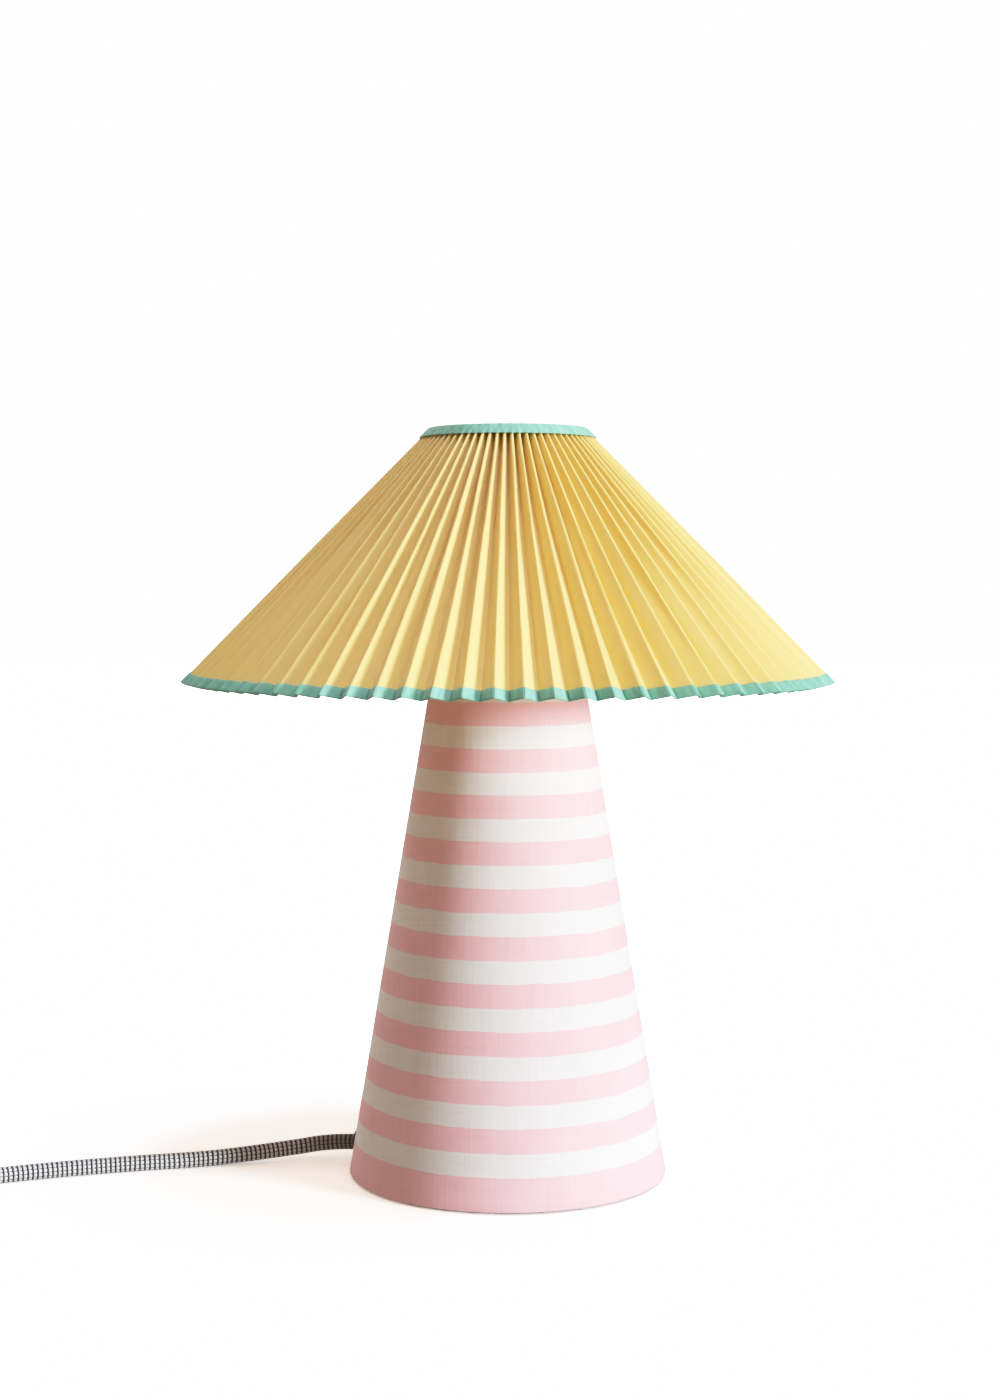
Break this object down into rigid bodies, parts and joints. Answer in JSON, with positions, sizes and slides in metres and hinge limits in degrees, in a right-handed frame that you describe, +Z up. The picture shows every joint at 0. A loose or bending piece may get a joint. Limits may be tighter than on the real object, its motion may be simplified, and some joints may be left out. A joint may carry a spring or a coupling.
{
  "type": "table lamp",
  "caption": "Table lamp with a striped cloth-covered cone base, a wide pleated cone shade with bound edges, a braided cord, an in-line rocker switch and a plug.",
  "frame": {"origin": "centre of the underside of the felt pad", "axes": "+Z up along the lamp's axis, -Y towards the viewer's front, the cord leaves at the left, towards -X"},
  "size_m": [0.4818, 0.4692, 0.346],
  "materials": {
    "pink_cloth": "matt woven cotton with pink and white stripes",
    "yellow_cloth": "matt pleated cotton",
    "green_tape": "matt woven tape",
    "felt": "wool felt",
    "board": "grey board",
    "wood": "fibreboard",
    "steel": "plain steel",
    "frame_wire": "white coated wire",
    "brass": "bare brass",
    "black_plastic": "satin moulded plastic",
    "ceramic": "glazed",
    "white_plastic": "satin moulded plastic",
    "opal_glass": "opal glass",
    "cord_braid": "black and white braided textile over a round cable",
    "tie_fabric": "woven hook and loop tape"
  },
  "bodies": {
    "root": {"cone_cover": "pink_cloth", "felt_pad": "felt", "cone_former": "board", "foot_ring": "wood", "cone_top_disc": "wood", "base_weight": "steel", "nipple_washer": "steel", "cover_washer": "steel", "switch_screw_1": "steel", "switch_screw_2": "steel", "rocker_pin": "steel", "plug_pin_left": "steel", "plug_pin_right": "steel", "threaded_nipple": "brass", "nipple_nut": "brass", "terminal_screw_1": "brass", "terminal_screw_2": "brass", "screw_shell": "brass", "centre_contact": "brass", "cord_bush": "black_plastic", "bush_nut": "black_plastic", "lampholder_cap": "black_plastic", "lampholder_skirt": "black_plastic", "switch_lower_shell": "black_plastic", "switch_upper_shell": "black_plastic", "plug_body": "black_plastic", "lampholder_core": "ceramic", "internal_lead": "white_plastic", "cord_lamp_to_switch": "cord_braid", "cord_switch_to_coil": "cord_braid", "cord_coil_to_plug": "cord_braid", "cord_coil": "cord_braid", "coil_tie": "tie_fabric"},
    "shade": {"pleated_shade": "yellow_cloth", "rim_binding": "green_tape", "top_binding": "green_tape", "top_edge_wire": "frame_wire", "gallery_ring": "frame_wire", "lower_ring": "frame_wire", "rib_1": "frame_wire", "rib_2": "frame_wire", "rib_3": "frame_wire", "rib_4": "frame_wire", "fitter_ring": "frame_wire", "spider_arm_1": "frame_wire", "spider_arm_2": "frame_wire", "spider_arm_3": "frame_wire"},
    "shade_ring": {"shade_ring": "black_plastic"},
    "bulb": {"bulb_contact": "steel", "bulb_insulator": "black_plastic", "bulb_screw_cap": "steel", "bulb_collar": "white_plastic", "bulb_glass": "opal_glass"},
    "rocker": {"rocker": "white_plastic"}
  },
  "joints": [
    {"name": "shade_lift", "type": "slide", "parent": "root", "child": "shade", "axis": [0, 0, 1], "range_m": [0, 0.15]},
    {"name": "shade_ring_turn", "type": "hinge", "parent": "shade", "child": "shade_ring", "pos_m": [0, 0, 0.2535], "axis": [0, 0, 1], "continuous": true},
    {"name": "bulb_lift", "type": "slide", "parent": "root", "child": "bulb", "axis": [0, 0, 1], "range_m": [0, 0.12]},
    {"name": "rocker_tilt", "type": "hinge", "parent": "root", "child": "rocker", "pos_m": [-0.2835, -0.08255, 0.0146], "axis": [0.866, -0.5, 0], "range_deg": [0, 16]}
  ]
}
